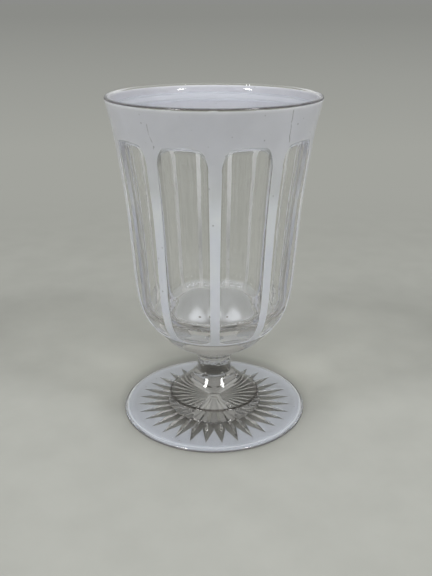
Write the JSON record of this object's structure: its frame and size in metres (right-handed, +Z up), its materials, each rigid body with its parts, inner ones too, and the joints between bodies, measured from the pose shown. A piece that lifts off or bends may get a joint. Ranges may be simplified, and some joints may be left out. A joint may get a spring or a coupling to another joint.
{
  "type": "water goblet",
  "caption": "Footed drinking goblet of clear glass cased in translucent opal, with tall round-topped flutes cut round the bowl and a star cut under the foot.",
  "frame": {"origin": "middle of the foot's underside, on the table", "axes": "+Z up along the stem's axis, with one rib facing -Y"},
  "size_m": [0.0828, 0.0828, 0.134],
  "materials": {
    "clear_glass": "fire-polished, with wheel-cut and polished flutes",
    "opal_glass": "polished, translucent milky white"
  },
  "bodies": {
    "root": {"bowl": "clear_glass", "bowl_casing": "opal_glass", "collar": "clear_glass", "stem": "clear_glass", "foot_pad": "clear_glass", "foot": "clear_glass", "foot_casing": "opal_glass"}
  },
  "joints": []
}
